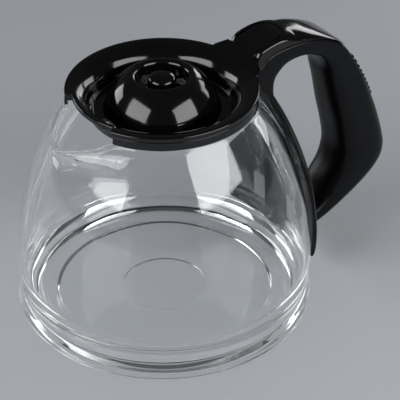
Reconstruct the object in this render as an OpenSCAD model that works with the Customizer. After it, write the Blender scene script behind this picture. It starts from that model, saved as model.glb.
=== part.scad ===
// Coffee server carafe: glass jug, hinged brew-through lid, loop handle.
// Millimetres. Origin on the jug's axis in the plane it stands on,
// +Z up, +X toward the handle, spout toward -X.

/* [Glass] */
// Thickness of the glass wall
wall_t = 2.2; // [1.8:0.1:2.6]
// Thickness of the glass over the flat base
base_t = 2.6; // [2.2:0.1:3.2]
// Radius of the spout channel inside the jug
spout_root_r = 22; // [19:0.5:23]
// Radius of the spout channel at its lip
spout_tip_r = 4.2; // [3.8:0.1:4.6]

/* [Collar] */
// Half angle of the collar's gap over the spout, degrees
gap_half = 27; // [24:1:32]
// Height of the collar's top face
collar_top = 124; // [123.8:0.1:124]

/* [Lid] */
// Outer radius of the lid flange
flange_r = 48.9; // [48:0.1:49.5]
// Half angle of the flange notch over the spout, degrees
notch_half = 25; // [20:1:26]
// Width of each gap between the dome's legs, degrees
leg_gap = 37; // [25:1:45]
// Radius of the drip post
post_r = 7.2; // [6:0.1:7.6]
// Width of the spokes that carry the drip post
spoke_w = 4; // [3:0.2:5]

/* [Handle] */
// Width of the handle loop
grip_w = 25; // [24:0.5:27]
// Half angle of the shield behind the handle, degrees
shield_half = 27; // [22:1:29]
// Thickness of the shield
shield_t = 5.2; // [4.2:0.1:5.4]
// Width of the ribbed pad on the handle's back
pad_w = 21; // [16:0.5:22]
// Number of ribs on that pad
rib_n = 9; // [5:1:11]

/* [Hinge] */
// Diameter of the hinge pin
pin_d = 3; // [2.6:0.1:3.2]
// Running clearance between pin and lever, on the radius
pin_gap = 0.06; // [0.04:0.01:0.1]
// Width of the thumb lever
tab_w = 18.4; // [16:0.2:18.6]

/* [Fasteners] */
// Shank diameter of the clamp screw
screw_d = 4; // [3.6:0.1:4.2]
// Shank diameter of the shield screws
small_d = 3; // [2.6:0.1:3.2]

/* [Hidden] */
$fn = 96;

black_gloss = [0.03, 0.03, 0.035];
black_soft = [0.07, 0.075, 0.08];

pin_x = 61;
pin_z = 126;
fork_w = tab_w + 0.8;   // inside width of the handle's fork
sweep_r = 15.9;         // radius kept clear around the pin for the tab
tab_r = 15.4;           // radius of the tab's rear end about the pin
ear_r = 12.3;           // radius about the pin that the lever's root stays outside of
pad_t = 1;              // gap between glass and shield, filled by the pads
screw_z = 115.6;        // height of the clamp screw

// Outside of the glass, from above the heel up to the shoulder
wall = [[77.3, 8], [77.4, 13], [77.45, 19], [77.5, 25], [77.3, 32], [76.4, 41], [74.9, 52],
        [72.4, 64], [69.2, 76], [65, 88], [60, 98.6], [55, 107.4], [51, 113.6], [48.2, 117.2]];
foot = [[0, 1.4], [22, 1.4], [24, 1], [58, 0.6], [64, 0], [75.2, 0], [76.6, 0.3], [77.4, 0.9], [77.6, 1.9], [77.4, 4.2]];
// The heel is thick: inside, the wall runs into the base in a wide hollow that ends at heel_r
heel_r = 57.7;
heel_h = 16;
rim = [[46.8, 118.9], [47.3, 120.3], [47.1, 121.2], [46.4, 121.6]];

// Outward normal and offset of a profile that runs upward
function nrm(p, i) = let (a = p[max(i - 1, 0)], b = p[min(i + 1, len(p) - 1)], t = b - a) [t[1], -t[0]] / norm(t);
function offs(p, d) = [for (i = [0 : len(p) - 1]) p[i] + d * nrm(p, i)];
function rev(p) = [for (i = [len(p) - 1 : -1 : 0]) p[i]];
// Radius of the glass at a height
function wall_r(z) = lookup(z, [for (q = wall) [q[1], q[0]]]);
// Part of the wall between two heights
function stretch(a, b) = concat([[wall_r(a), a]], [for (q = wall) if (q[1] > a + 0.5 && q[1] < b - 0.5) q], [[wall_r(b), b]]);

// A shape drawn in X and Z, as wide as w along Y and centred on Y = 0
module slab(w, pts) { rotate([90, 0, 0]) linear_extrude(height = w, center = true) polygon(pts); }
// A sector of revolution centred on direction az, half wide to each side
module sector(az, half, pts) { rotate([0, 0, az - half]) rotate_extrude(angle = 2 * half) polygon(pts); }
// A rod along Y
module rod(x, z, d, l) { translate([x, 0, z]) rotate([90, 0, 0]) cylinder(d = d, h = l, center = true); }

// Spout channel, grown by g: a cone lying toward -X with a ball at its lip
module spout(g) {
    translate([-40, 0, 114.5]) rotate([0, -88, 0]) {
        cylinder(h = 20.1, r1 = spout_root_r + g, r2 = spout_tip_r + g);
        translate([0, 0, 20.1]) sphere(r = spout_tip_r + g);
    }
}

module glass_body() {
    inner_wall = offs([for (q = wall) if (q[1] > 18) q], -wall_t);
    color([0.8, 0.9, 0.95, 0.35]) difference() {
        union() {
            rotate_extrude() polygon(concat(foot, wall, rim, [[0, 121.6]]));
            intersection() {
                spout(wall_t);
                // the lip falls from the rim to the spout's tip
                slab(60, [[-30, 85], [-30, 121.2], [-44, 121.2], [-50, 118.8], [-57, 116.4], [-63, 114.6], [-70, 113.4], [-70, 85]]);
            }
        }
        rotate_extrude() polygon(concat(
            [[0, 1.4 + base_t], [22, 1.4 + base_t], [24, 1 + base_t]],
            [for (a = [0 : 15 : 90]) [heel_r + (77.1 - wall_t - heel_r) * sin(a), heel_h - (heel_h - 0.6 - base_t) * cos(a)]],
            inner_wall, [[44.6, 118.9], [44.8, 121.6], [44.8, 125], [0, 125]]));
        intersection() {
            spout(0);
            slab(60, [[-20, 85], [-20, 130], [-80, 130], [-80, 85]]);
        }
    }
}

module neck_collar() {
    color(black_gloss) difference() {
        union() {
            sector(0, 180 - gap_half, [[49, 119.8], [49, collar_top - 0.3], [48.7, collar_top], [44.9, collar_top],
                [44.9, 122], [47.7, 122], [47.7, 120.2], [47.1, 119.8]]);
            // rear lug that takes the clamp screw
            difference() {
                translate([47.8, -7, 112]) cube([9.2, 14, 8.6]);
                rotate_extrude() polygon(concat([[40, 100]], offs(stretch(100, 117), 0.5), [[47.7, 119.5], [47.7, 121], [40, 121]]));
            }
        }
        // square pocket for the nut, and the screw's way through it
        translate([53.2, -3.6, screw_z - 3.6]) cube([3, 7.2, 20]);
        translate([51.6, 0, screw_z]) rotate([0, 90, 0]) cylinder(d = screw_d + 0.3, h = 10);
    }
}

module clamp_nut() {
    color([0.75, 0.75, 0.77]) difference() {
        translate([53.4, -3.4, screw_z - 3.4]) cube([2.6, 6.8, 6.8]);
        translate([50, 0, screw_z]) rotate([0, 90, 0]) cylinder(d = screw_d + 0.02, h = 10);
    }
}

module clamp_screw() {
    color([0.75, 0.75, 0.77]) difference() {
        translate([0, 0, screw_z]) rotate([0, 90, 0]) {
            translate([0, 0, 52]) cylinder(d = screw_d, h = 10.6);
            translate([0, 0, 62.5]) cylinder(d = 7, h = 2.2);
        }
        // cross recess
        for (a = [0, 90]) translate([64, 0, screw_z]) rotate([a, 0, 0]) cube([2, 4, 0.9], center = true);
    }
}

module shield_bores(extra) {
    for (s = [-1, 1]) translate([79, s * 6, 13.2]) rotate([0, 90, 0]) {
        cylinder(d = small_d + extra, h = 12);
    }
}

module back_shield() {
    band = stretch(9, 103.4);
    half_line = [[60, 0], [60, 50], [34.4, 60], [30.2, 69], [24.3, 78], [19.2, 86], [15.4, 94], [13, 103.4], [13, 125]];
    color(black_soft) difference() {
        intersection() {
            sector(0, shield_half, concat(offs(band, pad_t), rev(offs(band, pad_t + shield_t))));
            // drawn in toward the handle's root at the top
            rotate([90, 0, 90]) linear_extrude(height = 120) polygon(concat(half_line, rev([for (q = half_line) [-q[0], q[1]]])));
        }
        shield_bores(0.3);
        for (s = [-1, 1]) translate([77, s * 6, 13.2]) rotate([0, 90, 0]) cylinder(d = 6.3, h = 3.6);
    }
}

module shield_pads() {
    color([0.55, 0.55, 0.55]) {
        for (z = [[22, 38], [70, 86]]) {
            band = stretch(z[0], z[1]);
            sector(0, 14, concat(offs(band, 0.02), rev(offs(band, pad_t - 0.02))));
        }
    }
}

module shield_screws() {
    color([0.75, 0.75, 0.77]) for (s = [-1, 1]) translate([0, s * 6, 13.2]) rotate([0, 90, 0]) difference() {
        union() {
            translate([0, 0, 78.9]) cylinder(d = 6, h = 1.6);
            translate([0, 0, 80.4]) cylinder(d = small_d, h = 10.4);
        }
        for (a = [0, 90]) rotate([0, 0, a]) translate([-1.6, -0.35, 78]) cube([3.2, 0.7, 1.6]);
    }
}

// Side view of the handle loop
loop_outer = [[49, 104], [49, 122.6], [51.4, 123.2], [54, 125.6], [57, 129], [60, 130.5], [66, 131.6], [75, 131.9],
              [84, 131], [92, 129.2], [99, 126.6], [104.6, 123.2], [110, 117.4], [115, 109.6], [120, 100.6],
              [125, 90.8], [130, 79.6], [134.6, 67.4], [138.6, 54.6], [140, 47.4], [139, 41], [135.4, 35],
              [129, 29.2], [121, 23.6], [112, 18.6], [103, 14.2], [94, 10.6], [86, 8.6], [80, 8.4], [80, 21]];
loop_hole = [[62, 103], [62.8, 108], [64, 112.2], [66.4, 116], [70, 119.2], [75, 120.9], [80, 121.2], [86, 120],
             [92, 116.6], [96.6, 110.8], [99.8, 103], [103, 94.4], [106.2, 85.2], [109, 76], [111.4, 67],
             [113.2, 58], [114, 51], [113.2, 45], [110.4, 38.6], [106, 32.6], [100, 26.4], [93, 21], [86, 17.4],
             [80, 15.6], [70, 60], [60, 90]];
// Side view of the top cap above the loop
cap_crown = [[52.4, 124.5], [50.5, 126.4], [49.8, 128.6], [50.3, 130.8], [51.3, 132.6], [53.2, 134.4], [57, 135.6], [61, 136.7], [66, 137.5], [71, 137.4], [77, 136.6],
             [83, 135.1], [90, 132.4], [96, 129.5], [102, 126.1], [105.6, 123.4], [107.8, 120.9]];
cap_seat = [[107.2, 120.9], [104.8, 123.5], [99, 126.9], [92, 129.5], [84, 131.3], [75, 132.2], [66, 131.9], [60, 130.8],
            [56.9, 129.2]];
// Side view of the ribbed pad on the back, and of its recess
pad_line = [[112.5, 113.6], [115, 109.6], [120, 100.6], [125, 90.8], [129.4, 81]];

// Everything the handle's front end must stay clear of: jug and shield
module jug_room(g) {
    low = stretch(7, 103.5);
    high = stretch(103.8, 117);
    rotate_extrude() polygon(concat([[0, 7]], offs(low, pad_t + shield_t + g), [[wall_r(103.5) + 1, 103.9]],
        offs(high, 0.9), [[49.2, 119.6], [49.2, 124.5], [0, 124.5]]));
}

// Room for the lever between the cheeks of the fork
module fork_room(w) {
    intersection() {
        rod(pin_x, pin_z, 2 * sweep_r, w);
        slab(w + 1, [[pin_x - 20, 121.2], [pin_x + 1, 121.2], [pin_x + 14, 106], [pin_x + 30, 106], [pin_x + 30, 150], [pin_x - 20, 150]]);
    }
    slab(w, [[44, 121.6], [pin_x, 121.4], [pin_x, 150], [44, 150]]);
}

module handle_grip() {
    color(black_soft) difference() {
        slab(grip_w, loop_outer);
        slab(grip_w + 2, loop_hole);
        jug_room(0.04);
        fork_room(fork_w);
        rod(pin_x, pin_z, pin_d + 0.02, grip_w + 2);
        // pocket for the collar's lug, and the screw's way in from the finger side
        translate([44, -7.3, 111.6]) cube([13.4, 14.6, 11]);
        translate([50, 0, screw_z]) rotate([0, 90, 0]) cylinder(d = screw_d + 0.4, h = 16);
        translate([62.4, 0, screw_z]) rotate([0, 90, 0]) cylinder(d = 7.6, h = 10);
        shield_bores(0.02);
        // recess for the ribbed pad
        slab(pad_w + 0.4, concat(offs(rev(pad_line), 4), rev(offs(rev(pad_line), -2.1))));
    }
}

module handle_cap() {
    color(black_gloss) difference() {
        slab(grip_w, concat(cap_crown, cap_seat));
        fork_room(fork_w);
    }
}

module grip_pad() {
    seat = rev(pad_line);
    n = 4 * rib_n + 1;
    // ribs rise and fall along the pad's outer face
    along = [for (i = [0 : n - 1]) let (s = i / (n - 1), z = lookup(s, [[0, 81], [1, 113.6]]),
             x = lookup(z, [for (q = seat) [q[1], q[0]]])) [x, z] + [0.88, 0.47] * (i % 4 == 2 ? 0.7 : i % 2 == 1 ? 0.35 : -0.2)];
    color(black_soft) slab(pad_w, concat(along, rev(offs(seat, -2))));
}

module hinge_pin() {
    color([0.75, 0.75, 0.77]) rod(pin_x, pin_z, pin_d, grip_w - 0.6);
}

module lid_ring() {
    color(black_gloss) difference() {
        union() {
            difference() {
                rotate_extrude() polygon([[flange_r, 124.3], [flange_r, 126.2], [flange_r - 0.5, 126.7], [46, 126.6],
                    [43.5, 126], [41.2, 124.9], [39.2, 123.2], [37.6, 121], [36.3, 118.4], [35.4, 115.8], [35, 114.6], [19.5, 114.6],
                    [19.5, 112.4], [36.4, 112.4], [37.2, 113.6], [38.2, 118.6], [38.9, 120.4], [39.8, 121.6], [42.4, 123], [43.6, 124.3]]);
                // notch over the spout
                sector(180, notch_half, [[45.2, 123], [52, 123], [52, 128], [45.2, 128]]);
                // slot in the bowl's floor on the spout side
                sector(180, 13, [[29, 111], [33.6, 111], [33.6, 116], [29, 116]]);
            }
            // root of the lever: the flange flares and climbs toward the fork
            difference() {
                intersection() {
                    translate([0, 0, 124.3]) linear_extrude(height = 10) polygon([[40.8, -17.6], [42, -18.4], [44.8, -19.7], [47.4, -17.4],
                        [50.6, -14.8], [50.6, 14.8], [47.4, 17.4], [44.8, 19.7], [42, 18.4], [40.8, 17.6]]);
                    slab(60, [[40, 124], [40, 125.9], [44.8, 127.1], [47.4, 128.9], [50.8, 131.4], [50.8, 124]]);
                }
                rod(pin_x, pin_z, 2 * ear_r, 60);
            }
            // thumb lever
            intersection() {
                slab(tab_w, [[38.6, 121.9], [38.6, 126.1], [43.3, 128.5], [48, 130.4], [52, 132], [56, 133.6], [60, 135.2], [64, 136.8],
                    [68, 137.4], [80, 137.2], [80, 133.8], [67, 133.8], [63.6, 131], [63, 126], [59, 126], [54, 124.3], [44.2, 124.3], [42, 123.6]]);
                union() {
                    rod(pin_x, pin_z, 2 * tab_r, 40);
                    translate([38, -20, 100]) cube([23, 40, 60]);
                }
            }
            rod(pin_x, pin_z, 8, tab_w);
        }
        rod(pin_x, pin_z, pin_d + 2 * pin_gap, 60);
    }
}

module lid_dome() {
    color(black_gloss) difference() {
        rotate_extrude() polygon([[29.8, 114.7], [28.8, 117.2], [27.6, 120.2], [25.9, 123.6], [23.7, 127], [21.1, 130], [18.4, 132.2],
            [16.6, 133.1], [15.2, 133.3], [13.7, 132.7], [13.1, 131], [13, 126], [13, 124.2], [14.7, 124.2],
            [14.8, 126], [15, 130.4], [16.8, 130.6], [19.2, 128.8], [21.7, 126], [23.8, 122.9], [25.6, 119.6],
            [26.9, 116.8], [27.8, 114.7]]);
        for (k = [0 : 3]) sector(90 * k, leg_gap / 2, [[24, 113], [31, 113], [31, 120.2], [24, 120.2]]);
    }
}

module drip_post() {
    color(black_gloss) union() {
        rotate_extrude() polygon([[0, 121.4], [post_r - 1, 121.4], [post_r, 122.4], [post_r, 130.2], [post_r - 0.8, 131.8],
            [post_r - 2.6, 133], [0, 133.6]]);
        // ring that clips over the well's lower edge, and its spokes
        rotate_extrude() polygon([[12.9, 122], [16.2, 122], [16.2, 126], [14.9, 126], [14.9, 124.15], [12.9, 124.15]]);
        intersection() {
            for (a = [45, 135]) rotate([0, 0, a]) translate([-20, -spoke_w / 2, 122.2]) cube([40, spoke_w, 1.9]);
            cylinder(r = 14, h = 200);
        }
    }
}

glass_body();
neck_collar();
clamp_nut();
clamp_screw();
back_shield();
shield_pads();
shield_screws();
handle_grip();
handle_cap();
grip_pad();
hinge_pin();
lid_ring();
lid_dome();
drip_post();
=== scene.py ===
import math
import bpy
import numpy as np
from mathutils import Matrix, Vector


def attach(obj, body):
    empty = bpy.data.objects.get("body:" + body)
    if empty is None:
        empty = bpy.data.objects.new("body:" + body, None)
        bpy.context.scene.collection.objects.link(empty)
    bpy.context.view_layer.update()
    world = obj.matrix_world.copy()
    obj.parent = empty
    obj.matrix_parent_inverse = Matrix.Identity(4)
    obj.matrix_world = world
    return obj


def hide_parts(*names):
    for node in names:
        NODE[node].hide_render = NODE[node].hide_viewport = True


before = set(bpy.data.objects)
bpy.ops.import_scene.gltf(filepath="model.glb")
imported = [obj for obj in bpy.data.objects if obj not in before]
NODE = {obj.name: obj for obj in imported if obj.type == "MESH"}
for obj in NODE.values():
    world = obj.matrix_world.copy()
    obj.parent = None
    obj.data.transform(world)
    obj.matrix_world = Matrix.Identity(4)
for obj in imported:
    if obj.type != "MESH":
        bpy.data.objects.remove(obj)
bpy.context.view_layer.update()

# Coffee server carafe. Sizes below are in millimetres in the part's frame and
# become metres as each mesh is made: +X handle, -X spout, +Z up.
MM = 0.001


# ---------------------------------------------------------------- mesh tools
def spline(pts, n):
    """n points along a smooth curve through pts, evenly spaced along it."""
    p = np.asarray(pts, float)
    a = p[0] * 2 - p[1]
    b = p[-1] * 2 - p[-2]
    q = np.vstack([a, p, b])
    out = []
    for i in range(1, len(q) - 2):
        p0, p1, p2, p3 = q[i - 1], q[i], q[i + 1], q[i + 2]
        t0 = 0.0
        t1 = t0 + max(np.linalg.norm(p1 - p0), 1e-6) ** 0.5
        t2 = t1 + max(np.linalg.norm(p2 - p1), 1e-6) ** 0.5
        t3 = t2 + max(np.linalg.norm(p3 - p2), 1e-6) ** 0.5
        for t in np.linspace(t1, t2, 24, endpoint=False):
            a1 = (t1 - t) / (t1 - t0) * p0 + (t - t0) / (t1 - t0) * p1
            a2 = (t2 - t) / (t2 - t1) * p1 + (t - t1) / (t2 - t1) * p2
            a3 = (t3 - t) / (t3 - t2) * p2 + (t - t2) / (t3 - t2) * p3
            b1 = (t2 - t) / (t2 - t0) * a1 + (t - t0) / (t2 - t0) * a2
            b2 = (t3 - t) / (t3 - t1) * a2 + (t - t1) / (t3 - t1) * a3
            out.append((t2 - t) / (t2 - t1) * b1 + (t - t1) / (t2 - t1) * b2)
    out.append(p[-1])
    out = np.array(out)
    d = np.concatenate([[0], np.cumsum(np.linalg.norm(np.diff(out, axis=0), axis=1))])
    s = np.linspace(0, d[-1], n)
    return np.stack([np.interp(s, d, out[:, k]) for k in range(out.shape[1])], 1)


def fillet(pts, closed=True, seg=5):
    """Polyline of (x, z, radius) corners, each rounded by its radius."""
    p = [np.array(q[:2], float) for q in pts]
    rad = [q[2] if len(q) > 2 else 0 for q in pts]
    n = len(p)
    out = []
    for i in range(n):
        if not closed and i in (0, n - 1) or rad[i] <= 0:
            out.append(p[i])
            continue
        a, b, c = p[i - 1], p[i], p[(i + 1) % n]
        u = (a - b) / np.linalg.norm(a - b)
        v = (c - b) / np.linalg.norm(c - b)
        ang = math.acos(max(-1, min(1, float(u @ v))))
        cut = rad[i] / math.tan(ang / 2)
        lim = 0.49 * min(np.linalg.norm(a - b), np.linalg.norm(c - b))
        if cut > lim:
            cut = lim
        r = cut * math.tan(ang / 2)
        m = (u + v) / np.linalg.norm(u + v)
        ctr = b + m * (r / math.sin(ang / 2))
        s = b + u * cut - ctr
        e = b + v * cut - ctr
        for k in range(seg + 1):
            t = k / seg
            w = math.acos(max(-1, min(1, float(s @ e) / (r * r))))
            if w < 1e-6:
                out.append(ctr + s)
                continue
            out.append(ctr + (math.sin((1 - t) * w) * s + math.sin(t * w) * e) / math.sin(w))
    return np.array(out)


def densify(p, step, closed=True):
    """Splits long edges so that no edge is longer than step."""
    out = []
    n = len(p)
    for i in range(n if closed else n - 1):
        a, b = p[i], p[(i + 1) % n]
        k = max(1, int(math.ceil(np.linalg.norm(b - a) / step)))
        out += [a + (b - a) * j / k for j in range(k)]
    if not closed:
        out.append(p[-1])
    return np.array(out)


def new_object(name, verts, faces):
    me = bpy.data.meshes.new(name)
    me.from_pydata([tuple(float(c) * MM for c in v) for v in verts], [], faces)
    me.validate(clean_customdata=False)
    me.update()
    ob = bpy.data.objects.new(name, me)
    bpy.context.scene.collection.objects.link(ob)
    return ob


def outward(ob):
    """Makes face directions agree and point out of the solid."""
    import bmesh
    bm = bmesh.new()
    bm.from_mesh(ob.data)
    bmesh.ops.remove_doubles(bm, verts=bm.verts, dist=1e-7)
    bmesh.ops.recalc_face_normals(bm, faces=bm.faces)
    if bm.calc_volume(signed=True) < 0:
        bmesh.ops.reverse_faces(bm, faces=bm.faces)
    bm.to_mesh(ob.data)
    bm.free()


def bake(ob):
    """Makes the modifiers' result the object's own mesh."""
    dg = bpy.context.evaluated_depsgraph_get()
    me = bpy.data.meshes.new_from_object(ob.evaluated_get(dg), preserve_all_data_layers=True, depsgraph=dg)
    old = ob.data
    ob.modifiers.clear()
    ob.data = me
    me.name = ob.name
    bpy.data.meshes.remove(old)


def boolean(ob, other, op):
    m = ob.modifiers.new("cut", "BOOLEAN")
    m.operation = op
    m.solver = "EXACT"
    m.object = other
    bpy.context.view_layer.update()
    bake(ob)
    bpy.data.objects.remove(other)


def soften(ob, width, angle=38, seg=3):
    """Rounds the edges that are sharper than angle."""
    m = ob.modifiers.new("edge", "BEVEL")
    m.width = width * MM
    m.segments = seg
    m.limit_method = "ANGLE"
    m.angle_limit = math.radians(angle)
    m.use_clamp_overlap = True
    m.miter_outer = "MITER_ARC"
    bpy.context.view_layer.update()
    bake(ob)


def shade(ob, angle=50, weighted=True):
    me = ob.data
    me.polygons.foreach_set("use_smooth", [True] * len(me.polygons))
    me.set_sharp_from_angle(angle=math.radians(angle))
    if weighted:
        m = ob.modifiers.new("normals", "WEIGHTED_NORMAL")
        m.mode = "FACE_AREA_WITH_ANGLE"
        m.weight = 50
        m.keep_sharp = True
        bpy.context.view_layer.update()
        bake(ob)
    me = ob.data
    me.update()


def join(ob, *others):
    """Puts the others' faces in ob's mesh."""
    verts = [tuple(v.co) for v in ob.data.vertices]
    faces = [tuple(p.vertices) for p in ob.data.polygons]
    for o in others:
        k = len(verts)
        verts += [tuple(v.co) for v in o.data.vertices]
        faces += [tuple(i + k for i in p.vertices) for p in o.data.polygons]
        bpy.data.objects.remove(o)
    me = bpy.data.meshes.new(ob.name)
    me.from_pydata(verts, [], faces)
    me.update()
    ob.data = me
    return ob


def grid_faces(nu, nv, wrap_u=False, wrap_v=False, base=0):
    f = []
    for i in range(nu if wrap_u else nu - 1):
        for j in range(nv if wrap_v else nv - 1):
            a = base + i * nv + j
            b = base + ((i + 1) % nu) * nv + j
            c = base + ((i + 1) % nu) * nv + (j + 1) % nv
            d = base + i * nv + (j + 1) % nv
            f.append((a, b, c, d))
    return f


def revolve(name, prof, angs, full=True):
    """A closed outline prof(angle) -> (r, z) turned about the axis. Points on the axis become one."""
    rows = [np.asarray(prof(a), float) for a in angs]
    n = len(rows[0])
    verts = []
    for a, p in zip(angs, rows):
        ca, sa = math.cos(a), math.sin(a)
        verts += [(r * ca, r * sa, z) for r, z in p]
    faces = grid_faces(len(angs), n, wrap_u=full, wrap_v=True)
    if not full:
        faces.append(tuple(range(n)))
        faces.append(tuple(reversed(range((len(angs) - 1) * n, len(angs) * n))))
    ob = new_object(name, verts, faces)
    outward(ob)
    return ob


def turned(name, prof, angs):
    """An open outline from axis to axis turned about the axis."""
    rows = [np.asarray(prof(a), float) for a in angs]
    n = len(rows[0])
    verts, faces = [], []
    for a, p in zip(angs, rows):
        ca, sa = math.cos(a), math.sin(a)
        verts += [(r * ca, r * sa, z) for r, z in p[1:-1]]
    m = n - 2
    faces = grid_faces(len(angs), m, wrap_u=True)
    lo, hi = len(verts), len(verts) + 1
    verts += [(0, 0, rows[0][0][1]), (0, 0, rows[0][-1][1])]
    for i in range(len(angs)):
        j = (i + 1) % len(angs)
        faces.append((lo, j * m, i * m))
        faces.append((hi, i * m + m - 1, j * m + m - 1))
    ob = new_object(name, verts, faces)
    outward(ob)
    return ob


def loft(name, rings, caps=True):
    """Closed rings of equal length, skinned one to the next."""
    n = len(rings[0])
    verts = [tuple(v) for r in rings for v in r]
    faces = grid_faces(len(rings), n, wrap_v=True)
    if caps:
        faces.append(tuple(range(n)))
        faces.append(tuple(reversed(range((len(rings) - 1) * n, len(rings) * n))))
    ob = new_object(name, verts, faces)
    outward(ob)
    return ob


def prism(name, pts, w, y0=0.0):
    """An outline in X and Z, w wide along Y."""
    n = len(pts)
    verts = [(x, y0 - w / 2, z) for x, z in pts] + [(x, y0 + w / 2, z) for x, z in pts]
    faces = [tuple(range(n)), tuple(reversed(range(n, 2 * n)))]
    faces += [(i, (i + 1) % n, n + (i + 1) % n, n + i) for i in range(n)]
    ob = new_object(name, verts, faces)
    outward(ob)
    return ob


def smoothstep(x):
    x = np.clip(x, 0, 1)
    return x * x * (3 - 2 * x)


# ---------------------------------------------------------------- materials
def material(name, **sockets):
    m = bpy.data.materials.new(name)
    m.use_nodes = True
    nt = m.node_tree
    b = nt.nodes["Principled BSDF"]
    for k, v in sockets.items():
        b.inputs[k.replace("_", " ")].default_value = v
    return m, nt, b


def noise(nt, scale, detail=2.0, rough=0.5, stretch=None):
    tc = nt.nodes.new("ShaderNodeTexCoord")
    t = nt.nodes.new("ShaderNodeTexNoise")
    t.inputs["Scale"].default_value = scale
    t.inputs["Detail"].default_value = detail
    t.inputs["Roughness"].default_value = rough
    if stretch:
        mp = nt.nodes.new("ShaderNodeMapping")
        mp.inputs["Scale"].default_value = stretch
        nt.links.new(tc.outputs["Object"], mp.inputs["Vector"])
        nt.links.new(mp.outputs["Vector"], t.inputs["Vector"])
    else:
        nt.links.new(tc.outputs["Object"], t.inputs["Vector"])
    return t


def ramp(nt, src, lo, hi, a=0.35, b=0.65):
    """Maps a noise value to the range lo to hi."""
    r = nt.nodes.new("ShaderNodeMapRange")
    r.inputs["From Min"].default_value = a
    r.inputs["From Max"].default_value = b
    r.inputs["To Min"].default_value = lo
    r.inputs["To Max"].default_value = hi
    nt.links.new(src, r.inputs["Value"])
    return r.outputs["Result"]


def tint(nt, src, c0, c1, a=0.35, b=0.65):
    r = nt.nodes.new("ShaderNodeValToRGB")
    r.color_ramp.elements[0].position = a
    r.color_ramp.elements[0].color = (*c0, 1)
    r.color_ramp.elements[1].position = b
    r.color_ramp.elements[1].color = (*c1, 1)
    nt.links.new(src, r.inputs["Fac"])
    return r.outputs["Color"]


def bump(nt, src, dist, strength=1.0, below=None):
    b = nt.nodes.new("ShaderNodeBump")
    b.inputs["Strength"].default_value = strength
    b.inputs["Distance"].default_value = dist
    nt.links.new(src, b.inputs["Height"])
    if below:
        nt.links.new(below, b.inputs["Normal"])
    return b.outputs["Normal"]


def glass_material():
    m, nt, b = material("clear_glass", Base_Color=(0.985, 0.995, 1.0, 1), Roughness=0.0, IOR=1.47, Transmission_Weight=1.0)
    n = noise(nt, 26, 1.0, 0.4)
    nt.links.new(bump(nt, n.outputs["Fac"], 0.0006, 0.12), b.inputs["Normal"])
    return m


def gloss_material():
    m, nt, b = material("gloss_black", IOR=1.5)
    big = noise(nt, 45, 4, 0.55)
    nt.links.new(tint(nt, big.outputs["Fac"], (0.0012, 0.0012, 0.0015), (0.0022, 0.0022, 0.0026)), b.inputs["Base Color"])
    smear = noise(nt, 70, 5, 0.6, (1, 1, 0.35))
    nt.links.new(ramp(nt, smear.outputs["Fac"], 0.07, 0.13), b.inputs["Roughness"])
    peel = noise(nt, 420, 2, 0.5)
    nt.links.new(bump(nt, peel.outputs["Fac"], 0.00012, 0.06), b.inputs["Normal"])
    return m


def soft_material():
    m, nt, b = material("soft_black", IOR=1.46, Specular_IOR_Level=0.2)
    big = noise(nt, 60, 4, 0.6)
    nt.links.new(tint(nt, big.outputs["Fac"], (0.0016, 0.0018, 0.0023), (0.0028, 0.0030, 0.0036)), b.inputs["Base Color"])
    rub = noise(nt, 38, 5, 0.6)
    nt.links.new(ramp(nt, rub.outputs["Fac"], 0.26, 0.34), b.inputs["Roughness"])
    grain = noise(nt, 2600, 2, 0.6)
    mottle = noise(nt, 520, 3, 0.6)
    low = bump(nt, mottle.outputs["Fac"], 0.00010, 0.25)
    nt.links.new(bump(nt, grain.outputs["Fac"], 0.00006, 0.5, low), b.inputs["Normal"])
    return m


def rubber_material():
    m, nt, b = material("ribbed_rubber", IOR=1.48, Specular_IOR_Level=0.25)
    big = noise(nt, 90, 4, 0.6)
    nt.links.new(tint(nt, big.outputs["Fac"], (0.0028, 0.0029, 0.0032), (0.0050, 0.0052, 0.0056)), b.inputs["Base Color"])
    rub = noise(nt, 120, 5, 0.6)
    nt.links.new(ramp(nt, rub.outputs["Fac"], 0.5, 0.68), b.inputs["Roughness"])
    grain = noise(nt, 1900, 3, 0.6)
    nt.links.new(bump(nt, grain.outputs["Fac"], 0.00009, 0.6), b.inputs["Normal"])
    return m


def silicone_material():
    m, nt, b = material("grey_silicone", IOR=1.42)
    big = noise(nt, 120, 4, 0.6)
    nt.links.new(tint(nt, big.outputs["Fac"], (0.24, 0.245, 0.25), (0.33, 0.335, 0.34)), b.inputs["Base Color"])
    rub = noise(nt, 300, 4, 0.6)
    nt.links.new(ramp(nt, rub.outputs["Fac"], 0.42, 0.6), b.inputs["Roughness"])
    grain = noise(nt, 1400, 3, 0.6)
    nt.links.new(bump(nt, grain.outputs["Fac"], 0.00008, 0.5), b.inputs["Normal"])
    return m


def steel_material():
    m, nt, b = material("plated_steel", Metallic=1.0)
    big = noise(nt, 350, 4, 0.6)
    nt.links.new(tint(nt, big.outputs["Fac"], (0.50, 0.50, 0.51), (0.64, 0.64, 0.63)), b.inputs["Base Color"])
    rub = noise(nt, 900, 4, 0.6, (0.2, 1, 1))
    nt.links.new(ramp(nt, rub.outputs["Fac"], 0.2, 0.38), b.inputs["Roughness"])
    turn = noise(nt, 2200, 2, 0.5, (3, 0.4, 0.4))
    nt.links.new(bump(nt, turn.outputs["Fac"], 0.00005, 0.5), b.inputs["Normal"])
    return m


def floor_material():
    m, nt, b = material("pale_floor", Roughness=0.75)
    big = noise(nt, 3.0, 5, 0.5)
    nt.links.new(tint(nt, big.outputs["Fac"], (0.400, 0.418, 0.446), (0.416, 0.434, 0.462)), b.inputs["Base Color"])
    grain = noise(nt, 500, 3, 0.5)
    nt.links.new(bump(nt, grain.outputs["Fac"], 0.0001, 0.1), b.inputs["Normal"])
    return m


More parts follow.
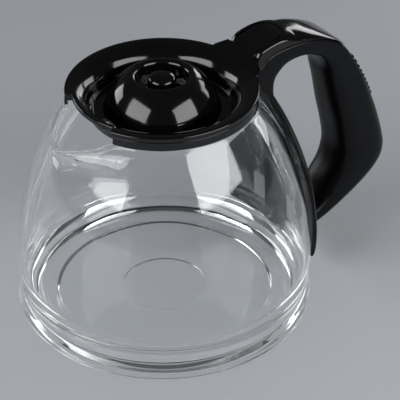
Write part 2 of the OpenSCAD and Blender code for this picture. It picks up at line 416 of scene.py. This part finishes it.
M_GLASS = glass_material()
M_GLOSS = gloss_material()
M_SOFT = soft_material()
M_RUBBER = rubber_material()
M_SILICONE = silicone_material()
M_STEEL = steel_material()
M_FLOOR = floor_material()


def dress(ob, mat, body, slot, *nodes):
    """Finish, body and the CAD nodes that a piece stands for. slot is not used."""
    ob.data.materials.clear()
    ob.data.materials.append(mat)
    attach(ob, body)
    if nodes:
        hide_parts(*nodes)
    return ob


# ---------------------------------------------------------------- the glass
WALL = [(77.6, 8), (77.05, 10.2), (76.52, 11.6), (76.32, 12.3), (76.42, 13.2), (76.75, 15), (77.15, 18), (77.4, 21.5), (77.5, 25.5),
        (77.3, 32), (76.4, 41), (74.9, 52), (72.4, 64), (69.2, 76), (65, 88), (60, 98.6), (55, 107.4), (51, 113.4), (48.7, 116.8), (47.5, 119.2)]
WALL_F = spline(WALL, 400)


def wall_r(z):
    return float(np.interp(z, WALL_F[:, 1], WALL_F[:, 0]))


def glass_outline():
    under = [(0, 1.5), (8, 1.5), (16, 1.5), (21.2, 1.5), (22.0, 1.42), (22.6, 1.25), (23.2, 1.08), (24, 1.0), (32, 1.0),
             (44, 1.0), (55.4, 1.0), (56.6, 0.97), (57.3, 0.8), (57.9, 0.5), (58.5, 0.2), (59.2, 0.04), (60.4, 0),
             (66, 0), (72.4, 0), (74.6, 0.03), (75.8, 0.24), (76.8, 0.7), (77.5, 1.4), (77.85, 2.4), (77.92, 3.6), (77.85, 5.6)]
    wall = [tuple(q) for q in spline(WALL, 96)]
    rim = [(47.35, 120.2), (47.15, 120.9), (46.7, 121.4), (46.1, 121.6), (45.5, 121.45), (45.05, 121.0), (44.85, 120.3)]
    inner = [(44.9, 119), (45.5, 117.7), (46.9, 115.8), (49.2, 112.3), (53.1, 106.2), (58, 97.6), (62.9, 87.1),
             (67.1, 75.3), (70.25, 63.5), (72.7, 51.7), (74.2, 40.8), (75.1, 31.9), (75.2, 26.5), (74.7, 23)]
    inner = [tuple(q) for q in spline(inner, 80)]
    # the heel is thick: the wall runs into the base in a wide hollow that ends at a low ring
    heel = [tuple(q) for q in spline([(74.35, 21.5), (73.1, 17.8), (71.8, 14.2), (70.5, 10.9), (69.5, 8.7), (68.2, 6.6), (66.3, 4.9), (63.8, 3.9), (61.4, 3.4), (60, 3.32)], 60)]
    heel += [tuple(q) for q in spline([(59.2, 3.3), (58.6, 3.55), (57.9, 3.85), (57.2, 3.85), (56.5, 3.55), (55.8, 3.3), (54, 3.24)], 20)]
    heel += [(48, 3.3), (40, 3.38), (30, 3.48)]
    heel += [tuple(q) for q in spline([(24.8, 3.54), (24.2, 3.65), (23.5, 4.0), (22.9, 4.2), (22.2, 4.2), (21.5, 4.06), (20.8, 4.0), (19, 4)], 20)]
    heel += [(16, 4), (8, 4), (0, 4)]
    return np.array(under + wall + rim + inner + heel)


def spout_rim(phi):
    """Radius and height of the rim at an angle phi (degrees) from the spout."""
    a = abs(phi)
    r = np.interp(a, *zip((0, 66.4), (2.5, 65.9), (5, 64.2), (8, 61.7), (11, 59.5), (15, 56.7), (19, 54.0), (23, 51.3), (27, 48.9),
                          (31, 47.6), (35, 47.15), (40, 47.1)))
    z = np.interp(a, *zip((0, 113.9), (2.5, 114.0), (5, 114.3), (8, 114.8), (11, 115.4), (15, 116.4), (19, 117.6), (23, 119.1), (27, 120.5),
                          (31, 121.3), (35, 121.58), (40, 121.6)))
    return r, z


PHI = np.linspace(0, 60, 241)
RIM_R = np.array([spout_rim(p)[0] for p in PHI])
RIM_Z = np.array([spout_rim(p)[1] for p in PHI])
KER = np.exp(-0.5 * (np.arange(-12, 13) / 5.0) ** 2)
KER /= KER.sum()
RIM_R = np.convolve(np.concatenate([RIM_R[12:0:-1], RIM_R, np.full(12, RIM_R[-1])]), KER, "valid")
RIM_Z = np.convolve(np.concatenate([RIM_Z[12:0:-1], RIM_Z, np.full(12, RIM_Z[-1])]), KER, "valid")
DR = RIM_R - RIM_R[-1]
DZ = RIM_Z - RIM_Z[-1]
SPOUT_FROM = 97.0


POUCH = spline([(94, 0), (102, 0), (103.5, 0.015), (104.6, 0.07), (106, 0.22), (108, 0.5), (110, 0.78), (111.5, 0.93), (113, 1.0), (114.5, 0.94),
                (116, 0.72), (117.5, 0.42), (119, 0.14), (120.5, 0), (125, 0)], 300)


def pulled(p, phi):
    """The outline with its upper part drawn out into the spout."""
    a = min(abs(phi), 60.0)
    dr, dz = np.interp(a, PHI, DR), np.interp(a, PHI, DZ)
    q = p.copy()
    t = np.clip((q[:, 1] - SPOUT_FROM) / (121.6 - SPOUT_FROM), 0, 1)
    # the shoulder leaves the jug gently and the lip turns outward at its end
    w = 0.35 * smoothstep(t) + 0.65 * t ** 2.1
    # the throat under the spout is broader than the lip and starts at a soft crease
    wide = np.interp(a, (0, 15, 30, 38, 42, 48, 56), (2.4, 2.4, 2.3, 1.9, 1.5, 0.7, 0))
    swell = wide * np.interp(p[:, 1], POUCH[:, 0], POUCH[:, 1])
    q[:, 0] += dr * w + swell
    q[:, 1] += dz * t ** 1.5
    return q


def make_glass():
    base = glass_outline()
    near = np.radians(np.arange(-60, 60.01, 0.5))
    far = np.radians(np.arange(61.5, 298.6, 1.5))
    angs = np.concatenate([near, far]) + math.pi
    ob = turned("glass_jug", lambda a: pulled(base, (math.degrees(a - math.pi) + 180) % 360 - 180), angs)
    shade(ob, 80)
    # clear glass lets the studio light through to the floor
    ob.visible_shadow = False
    return dress(ob, M_GLASS, "jug", "clear_glass", "glass_body")


make_glass()


# ---------------------------------------------------------------- neck collar
def make_collar():
    prof = fillet([(49.0, 119.6, 0.35), (49.05, 121.4, 0.2), (48.9, 123.0, 0.3), (48.75, 124.0, 0.3), (44.9, 124.0, 0.2), (44.9, 122.0, 0.2),
                   (47.7, 122.0, 0.1), (47.7, 120.2, 0.1), (47.2, 119.6, 0.1)], seg=4)
    half = math.radians(180 - 27)
    angs = np.linspace(-half, half, 205)
    ob = revolve("neck_band", lambda a: prof, angs, full=False)
    lug = prism("lug", fillet([(48.2, 112, 0.8), (57, 112, 0.8), (57, 120.6, 0.8), (48.2, 120.6, 0.8)]), 14)
    boolean(ob, lug, "UNION")
    soften(ob, 0.25, 55, 2)
    shade(ob, 45)
    return dress(ob, M_GLOSS, "jug", "gloss_black", "neck_collar")


make_collar()


# ---------------------------------------------------------------- lid
NOTCH = 25.0


def flange_outline():
    top = fillet([(48.9, 124.3, 0.35), (48.9, 126.7, 0.75), (47.4, 126.75, 0)], closed=False, seg=6)
    skirt = spline([(47.4, 126.75), (46, 126.6), (43.5, 126.0), (41.2, 124.9), (39.2, 123.2), (37.6, 121.0), (36.3, 118.4), (35.5, 116.2)], 36)[1:]
    floor = fillet([(35.5, 116.2), (35.0, 114.6, 1.0), (19.5, 114.6, 0.6), (19.5, 112.4, 0.6), (36.2, 112.4, 0.8), (37.2, 113.6, 0.8), (38.2, 118.6, 0.8),
                    (39.2, 121.2, 1.0), (42.4, 123, 0.8), (43.7, 124.3, 0.3), (48.9, 124.3)], closed=False, seg=5)[1:-1]
    p = np.vstack([top, skirt, floor])
    return densify(p, 1.6)


def make_lid_ring():
    base = flange_outline()

    def prof(a):
        phi = abs((math.degrees(a - math.pi) + 180) % 360 - 180)
        k = 1 - float(smoothstep(np.array((phi - NOTCH) / 1.6 + 0.5)))
        p = base.copy()
        m = (p[:, 0] > 41) & (p[:, 1] > 122.4)
        p[m, 0] = 41 + (p[m, 0] - 41) * (1 - k * (48.9 - 45.4) / (48.9 - 41))
        return p

    fine = np.arange(NOTCH - 1.6, NOTCH + 1.61, 0.16)
    deg = np.concatenate([np.arange(-180, 180, 1.5), 180 - fine, -180 + fine])
    deg = np.unique(np.round(deg, 3))
    ob = revolve("lid_flange", prof, np.radians(deg))
    # slot in the floor on the spout side
    n = 14
    arc = np.radians(np.linspace(167, 193, n))
    ring = [(33.4 * math.cos(t), 33.4 * math.sin(t)) for t in arc] + [(29.2 * math.cos(t), 29.2 * math.sin(t)) for t in arc[::-1]]
    v = [(x, y, 111) for x, y in ring] + [(x, y, 116) for x, y in ring]
    k = len(ring)
    f = [tuple(range(k)), tuple(reversed(range(k, 2 * k)))] + [(i, (i + 1) % k, k + (i + 1) % k, k + i) for i in range(k)]
    slot = new_object("slot_room", v, f)
    outward(slot)
    boolean(ob, slot, "DIFFERENCE")
    boolean(ob, make_ear(), "UNION")
    boolean(ob, make_tab(), "UNION")
    hub = prism("hub", [(61 + 4 * math.cos(t), 126 + 4 * math.sin(t)) for t in np.linspace(0, 2 * math.pi, 48, endpoint=False)], 18.4)
    boolean(ob, hub, "UNION")
    bore = prism("bore", [(61 + 1.56 * math.cos(t), 126 + 1.56 * math.sin(t)) for t in np.linspace(0, 2 * math.pi, 40, endpoint=False)], 30)
    boolean(ob, bore, "DIFFERENCE")
    shade(ob, 38)
    return dress(ob, M_GLOSS, "lid", "gloss_black", "lid_ring")


TAB_TOP = spline([(45, 127.4), (48, 130.0), (51, 132.4), (54, 133.9), (57, 134.8), (60, 135.6), (64, 136.8), (68, 137.35), (71, 137.25), (73, 137.0)], 200)
TAB_LOW = spline([(45, 124.4), (46, 124.4), (50, 124.35), (54, 124.6), (57.6, 126), (62, 129.5), (65, 132.2), (68, 133.5), (71, 133.7), (73, 133.7)], 200)


def make_tab():
    """Thumb lever: a tongue that leaves the flange, climbs over the pin and ends in rounded corners."""
    x_end = 73.0
    c = 7.0
    xs = np.concatenate([np.linspace(45, 65.5, 42), x_end - c + c * np.sin(np.radians(np.linspace(0, 88, 22)))])
    rings = []
    for x in xs:
        hw = 9.2
        if x > x_end - c:
            hw = hw - c + math.sqrt(max(c * c - (x - x_end + c) ** 2, 0.0))
        zt = float(np.interp(x, TAB_TOP[:, 0], TAB_TOP[:, 1]))
        zb = float(np.interp(x, TAB_LOW[:, 0], TAB_LOW[:, 1]))
        e = x - (x_end - 1.6)
        if e > 0:
            d = 1.1 * (1 - math.sqrt(max(1 - (e / 1.6) ** 2, 0.0)))
            zt, zb = zt - d, zb + d * 0.6
        r = min(0.9, 0.3 * (zt - zb))
        ring = fillet([(-hw, zb, r * 0.6), (hw, zb, r * 0.6), (hw, zt, r), (-hw, zt, r)], seg=4)
        ring = np.array([(x, y, z) for y, z in ring])
        rings.append(ring)
    ob = loft("tab", rings)
    # the end stays inside the room that the fork leaves for it as it swings
    rings = []
    ys = np.concatenate([[-9.4], -9.2 + c * (1 - np.cos(np.radians(np.linspace(4, 90, 24)))), [0]])
    ys = np.concatenate([ys, -ys[-2::-1]])
    for y in ys:
        e = max(abs(y) - (9.2 - c), 0.0)
        r = 15.5 - c + math.sqrt(max(c * c - e * e, 0.0))
        pts = [(61 + r * math.cos(t), 126 + r * math.sin(t)) for t in np.radians(np.linspace(-70, 90, 60))]
        pts += [(60.9, 150), (30, 150), (30, 105)]
        rings.append(np.array([(x, y, z) for x, z in pts]))
    boolean(ob, loft("swing", rings), "INTERSECT")
    return ob


def make_ear():
    """Root of the lever: the flange flares and climbs toward the fork, highest in the middle."""
    wide = spline([(36.4, 16.4), (39, 17.6), (42, 18.9), (44.9, 19.4), (47.4, 16.6), (49.2, 14.3), (51, 12.6)], 80)
    mid = spline([(36.4, 118.2), (38.6, 122.4), (40.4, 124.4), (42.6, 126.0), (44.9, 127.4), (47.4, 129.6), (49.2, 131.1), (51, 132.5)], 80)
    side = spline([(36.4, 117.8), (38.6, 121.9), (40.4, 124.0), (42.6, 125.7), (44.9, 127.0), (47.4, 129.2), (49.2, 130.7), (51, 132.1)], 80)
    u = np.concatenate([np.linspace(-1, -0.96, 4), np.linspace(-0.94, 0.94, 49), np.linspace(0.96, 1, 4)])
    rings = []
    for x in np.linspace(36.4, 51, 44):
        hw = float(np.interp(x, wide[:, 0], wide[:, 1]))
        zm = float(np.interp(x, mid[:, 0], mid[:, 1]))
        zs = float(np.interp(x, side[:, 0], side[:, 1]))
        low = min(124.45, zs - 0.8, 118.4 + (x - 36.4) * 0.75)
        edge = 0.7 * (1 - np.sqrt(np.clip(1 - (np.clip(np.abs(u) - 0.94, 0, 1) / 0.06) ** 2, 0, 1)))
        z = zs + (zm - zs) * (1 - smoothstep((np.abs(u) - 0.2) / 0.76)) - edge
        ring = [(x, hw * a, b) for a, b in zip(u, z)] + [(x, hw * a, low) for a in u[::-3]]
        rings.append(np.array(ring))
    ob = loft("ear", rings)
    arc = [(61 + 12.3 * math.cos(t), 126 + 12.3 * math.sin(t)) for t in np.radians(np.linspace(0, 360, 120, endpoint=False))]
    boolean(ob, prism("swing", arc, 60), "DIFFERENCE")
    return ob


def make_dome():
    out = spline([(29.8, 115.0), (28.8, 117.3), (27.6, 120.2), (25.9, 123.6), (23.7, 127.0), (21.1, 130.0), (18.4, 132.2), (16.6, 133.15),
                  (15.2, 133.3), (14.0, 132.95), (13.3, 132.1), (13.05, 130.8), (13, 128), (13, 126), (13, 124.4)], 64)
    inn = spline([(14.6, 124.4), (14.7, 126), (14.9, 128.4), (15.1, 130.0), (15.8, 130.7), (16.8, 130.5), (19.2, 128.8), (21.7, 126), (23.8, 122.9),
                  (25.6, 119.6), (26.9, 116.8), (27.8, 115.0)], 48)
    full = np.vstack([out, inn])
    edge = 120.2

    def cut():
        """The same outline with its foot ended at the leg gap's height."""
        p = full.copy()
        k = int(np.argmax(out[:, 1] >= edge))
        frac = np.linspace(0, 1, k + 1)
        zo = edge + (out[k, 1] - edge) * frac
        ro = np.interp(zo, out[:20, 1], out[:20, 0])
        p[:k + 1, 0], p[:k + 1, 1] = ro, zo
        kk = len(inn) - int(np.argmax(inn[::-1, 1] >= edge)) - 1
        n = len(inn) - kk
        zi = np.linspace(inn[kk, 1], edge, n)
        rr = inn[::-1]
        ri = np.interp(zi, rr[:18, 1], rr[:18, 0])
        p[len(out) + kk:, 0], p[len(out) + kk:, 1] = ri, zi
        return p

    short = cut()
    gap = 18.5

    def prof(a):
        d = (math.degrees(a) + 45) % 90 - 45
        k = float(smoothstep(np.array((abs(d) - gap) / 1.2 + 0.5)))
        return full * k + short * (1 - k)

    fine = np.arange(gap - 1.0, gap + 1.01, 0.2)
    deg = [np.arange(-180, 180, 1.5)]
    for c in (-180, -90, 0, 90, 180):
        deg += [c + fine, c - fine]
    deg = np.concatenate(deg)
    deg = np.unique(np.round((deg + 180) % 360 - 180, 3))
    ob = revolve("dome_shell", prof, np.radians(deg))
    shade(ob, 48)
    return dress(ob, M_GLOSS, "lid", "gloss_black", "lid_dome")


def make_post():
    prof = [(0, 121.4), (3, 121.4), (5.8, 121.4), (6.6, 121.6), (7.05, 122.0), (7.2, 122.8), (7.2, 124), (7.2, 127), (7.2, 129.6)]
    top = spline([(7.2, 129.6), (7.08, 130.7), (6.6, 131.7), (5.6, 132.55), (4.2, 133.15), (2.4, 133.5), (0, 133.6)], 20)[1:]
    prof = np.vstack([prof, top])
    angs = np.linspace(0, 2 * math.pi, 96, endpoint=False)
    ob = turned("post_insert", lambda a: prof, angs)
    rp = fillet([(12.9, 122, 0.4), (16.2, 122, 0.4), (16.2, 126, 0.4), (14.9, 126, 0.2), (14.9, 124.3, 0.1), (12.9, 124.3, 0.2)], seg=3)
    ring = revolve("ring", lambda a: rp, angs)
    boolean(ob, ring, "UNION")
    for d in (45, 135):
        w = prism("spoke", fillet([(-13.6, 122.2, 0.4), (13.6, 122.2, 0.4), (13.6, 124.1, 0.5), (-13.6, 124.1, 0.5)], seg=3), 4)
        w.data.transform(Matrix.Rotation(math.radians(d), 4, "Z"))
        boolean(ob, w, "UNION")
    shade(ob, 40)
    return dress(ob, M_GLOSS, "lid", "gloss_black", "drip_post")


make_lid_ring()
make_dome()
make_post()


# ---------------------------------------------------------------- handle
PAIRS = [((61.0, 98.9), (66.2, 97.6)), ((59.6, 101.4), (64.4, 100.2)), ((58.2, 104.0), (63.2, 102.8)), ((55.8, 108.2), (62.7, 106.3)),
         ((53.0, 112.3), (63.2, 109.8)), ((50.8, 116.2), (64.0, 112.4)), ((50.0, 119.6), (64.8, 113.8)),
         ((51.0, 123.2), (65.6, 115)), ((54.4, 126.3), (67.6, 117.2)), ((58, 129.6), (70.4, 119.4)), ((63, 131.2), (74, 120.7)),
         ((69.5, 131.8), (78.5, 121.2)), ((77, 131.8), (82.6, 120.9)), ((85, 130.9), (86.6, 119.8)), ((93, 128.9), (90.2, 118)),
         ((100.5, 125.8), (93.4, 115.3)), ((106.4, 121.5), (96, 111.8)), ((111.4, 115.4), (98, 107.6)), ((115.6, 108.6), (99.2, 102.8)),
         ((120, 100.6), (100.8, 97.4)), ((125, 90.8), (103.7, 88.3)), ((130, 79.6), (106.8, 78)), ((134.6, 67.4), (109.7, 67.5)),
         ((138.2, 56), (111.7, 58)), ((140, 47.4), (112.5, 51.4)), ((139, 41), (112.0, 46.6)), ((135.4, 35), (110.6, 42.4)),
         ((129, 29.2), (108.0, 37.5)), ((121, 23.6), (104.2, 32.5)), ((112, 18.6), (100, 26.4)), ((103, 14.2), (94.6, 22)),
         ((94, 10.6), (89.6, 19.2)), ((86.5, 8.7), (85.2, 17.3)), ((81.5, 8.4), (81.5, 16.2))]
#        squareness of the section on its outer side, on its inner side
SHAPE = [(7, 3.2)] * 8 + [(9, 3.2)] * 2 + [(10, 3.0)] * 5 + [(8, 3.0), (5.5, 3.1), (4.2, 3.2), (3.6, 3.3)] + [(3.4, 3.3)] * 6 + [(3.2, 3.1)] * 3 + \
        [(3.1, 3.0)] * 3 + [(3.2, 3.0)] * 3
#        half width of the section, and how much thicker it is than the pairs say, along the loop
HALF_W = [12.5] * 15 + [12.7, 13.1, 13.6, 14.0] + [14.3] * 6 + [14.1, 13.8, 13.5] + [13.2, 13.0, 12.8] + [12.6] * 3
THICK = [0.0] * 14 + [0.2, 0.5, 0.9, 1.3, 1.6] + [1.8] * 6 + [1.7, 1.5, 1.3] + [1.1, 0.9, 0.7] + [0.5, 0.4, 0.3]
N_ST = 220
_t = np.linspace(0, 1, len(PAIRS))
_flat = np.array([(*o, *i) for o, i in PAIRS], float)
ST = spline(_flat, N_ST)
SH = np.stack([np.interp(np.linspace(0, 1, N_ST), _t, v) for v in ([s[0] for s in SHAPE], [s[1] for s in SHAPE], HALF_W, THICK)], 1)


def section(st, sh, n=84):
    """One ring of the grip between its outer and inner edge points."""
    o, i = st[:2], st[2:]
    c = (o + i) / 2
    u = (o - i) / np.linalg.norm(o - i)
    h = np.linalg.norm(o - i) / 2 + sh[3]
    w = sh[2]
    ring = []
    for k in range(n):
        t = 2 * math.pi * (k + 0.5) / n
        ct, s = math.cos(t), math.sin(t)
        e = 2 / (sh[0] if s > 0 else sh[1])
        y = w * math.copysign(abs(ct) ** e, ct)
        b = h * math.copysign(abs(s) ** e, s)
        q = c + u * b
        ring.append((q[0], y, q[1]))
    return np.array(ring)


def hug(ring):
    """Bends the front of the root round the jug's neck."""
    r = ring.copy()
    k = np.clip((60 - r[:, 0]) / 10.5, 0, 1)
    r[:, 0] -= k * (49.4 - np.sqrt(49.4 ** 2 - np.clip(r[:, 1], -13, 13) ** 2))
    return r


def fork_cutter():
    """Room for the lever between the cheeks, its rear corners rounded."""
    rings = []
    c = 7.0
    ys = np.concatenate([[-9.6], -9.6 + c * (1 - np.cos(np.radians(np.linspace(12, 90, 9)))), [0]])
    ys = np.concatenate([ys, -ys[-2::-1]])
    for y in ys:
        e = max(abs(y) - (9.6 - c), 0.0)
        r = 15.9 - c + math.sqrt(max(c * c - e * e, 0.0))
        pts = [(40, 121.5), (62, 121.3)]
        pts += [(61 + r * math.cos(t), 126 + r * math.sin(t)) for t in np.radians(np.linspace(-58, 60, 40))]
        pts += [(61, 150), (40, 150)]
        rings.append(np.array([(x, y, z) for x, z in pts]))
    return loft("fork_room", rings)


def make_grip():
    rings = [hug(section(ST[k], SH[k])) for k in range(N_ST)]
    ob = loft("grip_loop", rings)
    boolean(ob, fork_cutter(), "DIFFERENCE")
    # the clamp screw's way in from the finger side
    t = np.linspace(0, 2 * math.pi, 40, endpoint=False)
    v = [(62.4, 3.8 * math.cos(a), 115.6 + 3.8 * math.sin(a)) for a in t] + [(72, 3.8 * math.cos(a), 115.6 + 3.8 * math.sin(a)) for a in t]
    k = len(t)
    f = [tuple(range(k)), tuple(reversed(range(k, 2 * k)))] + [(i, (i + 1) % k, k + (i + 1) % k, k + i) for i in range(k)]
    well = new_object("well", v, f)
    outward(well)
    boolean(ob, well, "DIFFERENCE")
    shade(ob, 40)
    return dress(ob, M_SOFT, "jug", "soft_black", "handle_grip")


CROWN = spline([(50.7, 126.3), (49.9, 128.4), (50.3, 130.8), (51.3, 132.7), (53.2, 134.5), (57, 135.8), (61, 136.8), (65, 137.4), (69, 137.6), (73, 137.3), (77, 136.6), (83, 135.1), (90, 132.4),
                (96, 129.5), (102, 126.1), (105.6, 123.4), (107.8, 121.1)], 240)
SEAT = spline([(52.0, 124.3), (53.0, 125.2), (54.6, 126.6), (56.9, 129.1), (60, 130.75), (66, 131.9), (75, 132.15), (84, 131.25), (92, 129.45), (99, 126.8), (104.8, 123.4), (107.2, 120.9)], 240)


def make_cap():
    """Gloss cap: crowned over the top arm and rounded down to the seam on each side."""
    rings = []
    n = 96
    for k in range(n):
        t = k / (n - 1)
        o = CROWN[int(round(t * 239))]
        i = SEAT[int(round(t * 239))]
        u = (o - i) / max(np.linalg.norm(o - i), 1e-6)
        h = np.linalg.norm(o - i)
        ey = float(np.interp(o[0], (58, 76), (9.0, 2.6)))
        eb = float(np.interp(o[0], (58, 76), (7.0, 2.1)))
        ring = []
        m = 56
        for j in range(m):
            a = math.pi * j / (m - 1)
            c, s = math.cos(a), math.sin(a)
            y = 12.5 * math.copysign(abs(c) ** (2 / ey), c)
            b = abs(s) ** (2 / eb)
            q = i + u * h * b
            ring.append((q[0], y, q[1]))
        for j in range(1, 24):
            y = -12.5 + 25 * j / 24
            ring.append((i[0], y, i[1]))
        rings.append(np.array(ring))
    ob = loft("cap_shell", rings)
    boolean(ob, fork_cutter(), "DIFFERENCE")
    shade(ob, 40)
    return dress(ob, M_GLOSS, "jug", "gloss_black", "handle_cap")


def make_pad():
    """Ribbed pad let into the handle's back."""
    zs = ST[:, 1]
    back = [k for k in range(N_ST) if ST[k, 0] > 108 and 81 <= zs[k] <= 113.6]
    lo, hi = back[0], back[-1]
    n = 9 * 8 + 1
    idx = np.linspace(lo, hi, n)
    m = 33
    top, low = [], []
    for q, f in enumerate(idx):
        st = np.array([np.interp(f, np.arange(N_ST), ST[:, c]) for c in range(4)])
        sh = np.array([np.interp(f, np.arange(N_ST), SH[:, c]) for c in range(4)])
        o, i = st[:2], st[2:]
        c = (o + i) / 2
        u = (o - i) / np.linalg.norm(o - i)
        h = np.linalg.norm(o - i) / 2 + sh[3]
        e = 2 / sh[0]
        endk = min(q, n - 1 - q) / 4.0
        rib = 0.5 * (1 - math.cos(2 * math.pi * q / 8))
        for row, sink in ((top, False), (low, True)):
            line = []
            for j in range(m):
                v = -1 + 2 * j / (m - 1)
                t = math.pi / 2 + v * 0.62
                ct, s = math.cos(t), math.sin(t)
                edge = min(1.0, (1 - abs(v)) / 0.16)
                k = smoothstep(np.array(edge)) * smoothstep(np.array(min(1.0, endk)))
                off = -0.9 if sink else -0.25 + k * (0.35 + 0.65 * rib)
                y = (sh[2] + off) * math.copysign(abs(ct) ** e, ct)
                b = (h + off) * abs(s) ** e
                p = c + u * b
                line.append((p[0], y, p[1]))
            row.append(line)
    verts = [v for row in top for v in row] + [v for row in low for v in row]
    k = n * m
    faces = grid_faces(n, m) + [tuple(reversed(f)) for f in grid_faces(n, m, base=k)]
    for a in range(n - 1):
        faces.append((a * m, k + a * m, k + (a + 1) * m, (a + 1) * m))
        faces.append((a * m + m - 1, (a + 1) * m + m - 1, k + (a + 1) * m + m - 1, k + a * m + m - 1))
    for b in range(m - 1):
        faces.append((b, b + 1, k + b + 1, k + b))
        faces.append(((n - 1) * m + b, k + (n - 1) * m + b, k + (n - 1) * m + b + 1, (n - 1) * m + b + 1))
    ob = new_object("rib_pad", verts, faces)
    outward(ob)
    shade(ob, 60)
    return dress(ob, M_RUBBER, "jug", "ribbed_rubber", "grip_pad")


HALF = spline([(9, 28), (30, 28), (50, 27.8), (60, 26.6), (69, 23.8), (78, 19.6), (86, 16), (94, 13.4), (101, 11.6), (106, 11)], 120)


def make_shield():
    """Plate that stands behind the glass and carries the foot of the handle."""
    z0, z1 = 9.0, 105.5
    nz = 84
    ring_n = 60
    rings = []
    for k in range(nz):
        t = k / (nz - 1)
        z = z0 + (z1 - z0) * t
        # rounded lower corners, and drawn in toward the handle's root at the top
        half = float(np.interp(z, HALF[:, 0], HALF[:, 1]))
        if z - z0 < 9:
            half -= 6.5 * (1 - math.sqrt(max(1 - ((9 - (z - z0)) / 9) ** 2, 0)))
        r = wall_r(max(z, 9.3))
        dz = 0.5
        slope = (wall_r(min(z + dz, 119)) - wall_r(max(z - dz, 9.3))) / (2 * dz)
        nx, nz_ = 1 / math.hypot(1, slope), -slope / math.hypot(1, slope)
        e = min(z - z0, z1 - z)
        thin = 1.0 if e > 2 else math.sqrt(max(1 - ((2 - e) / 2) ** 2, 0.0)) * 0.75 + 0.25
        mid = 1.0 + 2.6
        pts = []
        for j in range(ring_n):
            a = 2 * math.pi * (j + 0.5) / ring_n
            ca, sa = math.cos(a), math.sin(a)
            av = math.copysign(abs(ca) ** (2 / 7.0), ca)
            bv = math.copysign(abs(sa) ** (2 / 3.2), sa)
            off = mid + 2.6 * thin * bv * (1 - 0.22 * av ** 4)
            ang = math.radians(half * av)
            rr = r + off * nx
            pts.append((rr * math.cos(ang), rr * math.sin(ang), z + off * nz_))
        rings.append(np.array(pts))
    ob = loft("shield_plate", rings)
    shade(ob, 50)
    return dress(ob, M_SOFT, "jug", "soft_black", "back_shield")


make_grip()
make_cap()
make_pad()
make_shield()

# ---------------------------------------------------------------- CAD nodes that stay
for n, mat in (("clamp_nut", M_STEEL), ("clamp_screw", M_STEEL), ("shield_screws", M_STEEL), ("hinge_pin", M_STEEL), ("shield_pads", M_SILICONE)):
    o = NODE[n]
    for s in o.material_slots:
        s.material = mat
    if not o.material_slots:
        o.data.materials.append(mat)


# ---------------------------------------------------------------- floor, lights, camera
def make_floor():
    n = 40
    verts = [(0, 0, -0.2)]
    faces = []
    for k, r in enumerate((200, 500, 1200, 3000, 8000)):
        for j in range(n):
            a = 2 * math.pi * j / n
            verts.append((r * math.cos(a), r * math.sin(a), -0.2))
    for j in range(n):
        faces.append((0, 1 + j, 1 + (j + 1) % n))
    for k in range(4):
        for j in range(n):
            a, b = 1 + k * n + j, 1 + k * n + (j + 1) % n
            faces.append((a, a + n, b + n, b))
    ob = new_object("floor", verts, faces)
    ob.data.materials.append(M_FLOOR)


make_floor()


def softbox(name, az, el, dist, w, h, level):
    """A rectangular light aimed at the jug. az is from the camera's side, + to its right."""
    a, e = math.radians(az), math.radians(el)
    d = Vector((-0.552, -0.834, 0)) * math.cos(a) + Vector((0.834, -0.552, 0)) * math.sin(a)
    d = d * math.cos(e) + Vector((0, 0, math.sin(e)))
    li = bpy.data.lights.new(name, "AREA")
    li.shape = "RECTANGLE"
    li.size, li.size_y = w, h
    li.energy = level * math.pi * w * h
    ob = bpy.data.objects.new(name, li)
    bpy.context.scene.collection.objects.link(ob)
    target = Vector((0, 0, 0.08))
    ob.location = target + d * dist
    ob.rotation_euler = (-d).to_track_quat("-Z", "Y").to_euler()
    ob.visible_camera = False
    return ob


softbox("softbox_left", -57, 28, 0.95, 0.78, 0.54, 5.4)
softbox("softbox_right", 53, 28, 0.95, 0.78, 0.54, 5.4)
softbox("softbox_back_left", -121, 10, 0.95, 0.44, 0.40, 4.2)
softbox("softbox_back_right", 130, 10, 0.95, 0.36, 0.40, 3.4)
softbox("softbox_back", 155, 14, 0.95, 0.28, 0.30, 3.4)

world = bpy.data.worlds.new("studio")
bpy.context.scene.world = world
world.use_nodes = True
bg = world.node_tree.nodes["Background"]
bg.inputs["Color"].default_value = (0.93, 0.96, 1.0, 1)
bg.inputs["Strength"].default_value = 0.06

cam = bpy.data.cameras.new("camera")
cam.sensor_fit = "HORIZONTAL"
cam.sensor_width = 36
cam.lens = 162
cam.clip_start = 0.01
co = bpy.data.objects.new("camera", cam)
bpy.context.scene.collection.objects.link(co)
co.location = (-0.4255, -0.6429, 0.592)
fwd = Vector((0.4702, 0.6738, -0.5700)).normalized()
right = fwd.cross(Vector((0, 0, 1))).normalized()
up = right.cross(fwd)
rot = Matrix((right, up, -fwd)).transposed()
co.rotation_euler = rot.to_euler()
bpy.context.scene.camera = co

vs = bpy.context.scene.view_settings
vs.view_transform = "Standard"
bpy.context.scene.cycles.caustics_refractive = False
bpy.context.scene.cycles.caustics_reflective = False
bpy.context.scene.cycles.max_bounces = 64
bpy.context.scene.cycles.transmission_bounces = 64
bpy.context.scene.cycles.glossy_bounces = 64
